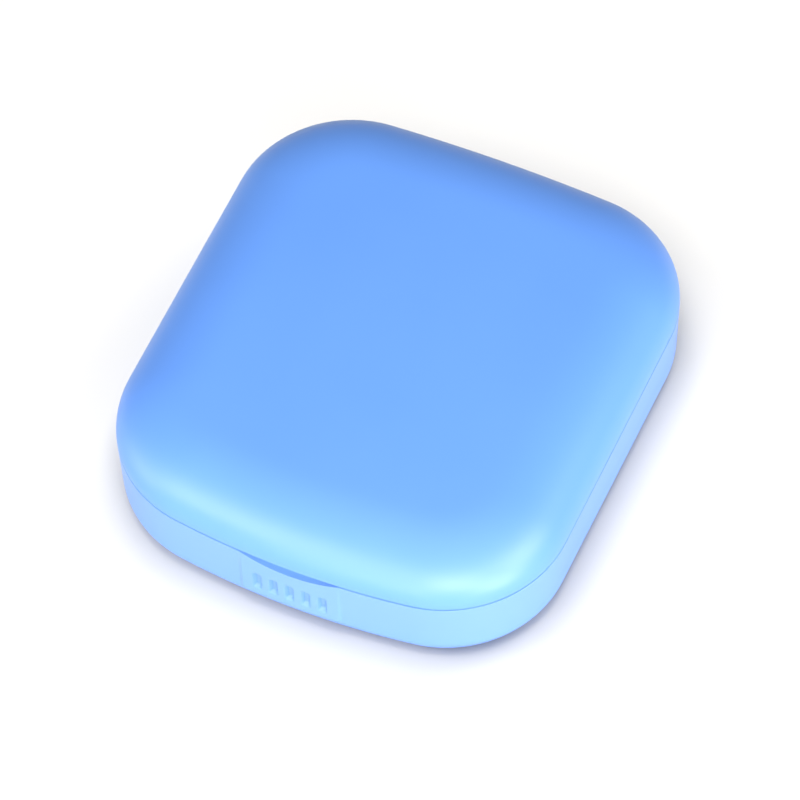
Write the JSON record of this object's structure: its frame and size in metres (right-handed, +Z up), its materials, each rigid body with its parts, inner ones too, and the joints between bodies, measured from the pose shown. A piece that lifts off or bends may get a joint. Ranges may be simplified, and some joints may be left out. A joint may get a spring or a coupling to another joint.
{
  "type": "contact lens case",
  "caption": "Rounded-square clamshell travel case for contact lenses, with a mirror in the hinged lid and a tray for a lens holder, solution bottle, tweezers and a suction stick.",
  "frame": {"origin": "on the flat underside, below the middle of the case's plan", "axes": "+Z up through the closed lid, +Y from the front towards the hinge, +X to the right seen from the front"},
  "size_m": [0.065, 0.0719, 0.02],
  "materials": {
    "blue_shell": "satin moulded plastic",
    "white_tray": "satin moulded plastic",
    "holder_plastic": "satin moulded plastic",
    "cap_blue": "satin moulded plastic with fine ribs",
    "cap_white": "satin moulded plastic with fine ribs",
    "seal_silicone": "translucent silicone",
    "bottle_plastic": "translucent squeezable plastic",
    "tool_plastic": "satin moulded plastic",
    "tip_silicone": "soft silicone",
    "pin_steel": "drawn steel wire",
    "mirror_glass": "silvered glass",
    "mirror_tape": "foam tape"
  },
  "bodies": {
    "base": {"base_shell": "blue_shell", "inner_tray": "white_tray", "hinge_pin": "pin_steel", "lens_holder": "holder_plastic", "bottle_body": "bottle_plastic", "bottle_nozzle": "bottle_plastic", "tweezer_tail": "tool_plastic", "stick_handle": "tool_plastic", "suction_tip": "tip_silicone"},
    "lid": {"lid_shell": "blue_shell", "mirror_frame": "white_tray", "mirror_glass": "mirror_glass", "mirror_tape": "mirror_tape"},
    "left_seal": {"left_seal": "seal_silicone"},
    "left_cap": {"left_cap": "cap_blue"},
    "right_seal": {"right_seal": "seal_silicone"},
    "right_cap": {"right_cap": "cap_white"},
    "bottle_liner": {"bottle_liner": "seal_silicone"},
    "bottle_cap": {"bottle_cap": "cap_white"},
    "tweezer_left": {"tweezer_arm_left": "tool_plastic", "tweezer_tip_left": "tip_silicone"},
    "tweezer_right": {"tweezer_arm_right": "tool_plastic", "tweezer_tip_right": "tip_silicone"}
  },
  "joints": [
    {"name": "lid_hinge", "type": "hinge", "parent": "base", "child": "lid", "pos_m": [0, 0.0343, 0.0127], "axis": [-1, 0, 0], "range_deg": [0, 115]},
    {"name": "left_cap_lift", "type": "slide", "parent": "base", "child": "left_seal", "axis": [0, 0, 1], "range_m": [0, 0.0015]},
    {"name": "left_cap_turn", "type": "hinge", "parent": "left_seal", "child": "left_cap", "pos_m": [-0.0166, -0.0162, 0.0128], "axis": [0, 0, 1], "range_deg": [0, 240]},
    {"name": "right_cap_lift", "type": "slide", "parent": "base", "child": "right_seal", "axis": [0, 0, 1], "range_m": [0, 0.0015]},
    {"name": "right_cap_turn", "type": "hinge", "parent": "right_seal", "child": "right_cap", "pos_m": [-0.0166, 0.0114, 0.0128], "axis": [0, 0, 1], "range_deg": [0, 240]},
    {"name": "bottle_cap_lift", "type": "slide", "parent": "base", "child": "bottle_liner", "axis": [0, 1, 0], "range_m": [0, 0.0016]},
    {"name": "bottle_cap_turn", "type": "hinge", "parent": "bottle_liner", "child": "bottle_cap", "pos_m": [0.0212, 0.017, 0.0092], "axis": [0, 1, 0], "range_deg": [0, 240]},
    {"name": "tweezer_right_squeeze", "type": "hinge", "parent": "base", "child": "tweezer_right", "pos_m": [0.00105, 0.024, 0.0075], "axis": [0, 0, -1], "range_deg": [0, 2.15], "stiffness_Nm_per_rad": 0.03},
    {"name": "tweezer_left_squeeze", "type": "hinge", "parent": "base", "child": "tweezer_left", "pos_m": [0.00095, 0.024, 0.0075], "axis": [0, 0, 1], "range_deg": [0, 2.15], "stiffness_Nm_per_rad": 0.03}
  ],
  "couplings": [
    {"joint": "left_cap_turn", "follows": "left_cap_lift", "rad_per_m": 2792},
    {"joint": "right_cap_turn", "follows": "right_cap_lift", "rad_per_m": 2792},
    {"joint": "bottle_cap_turn", "follows": "bottle_cap_lift", "rad_per_m": 2617},
    {"joint": "tweezer_left_squeeze", "follows": "tweezer_right_squeeze", "ratio": 1}
  ]
}
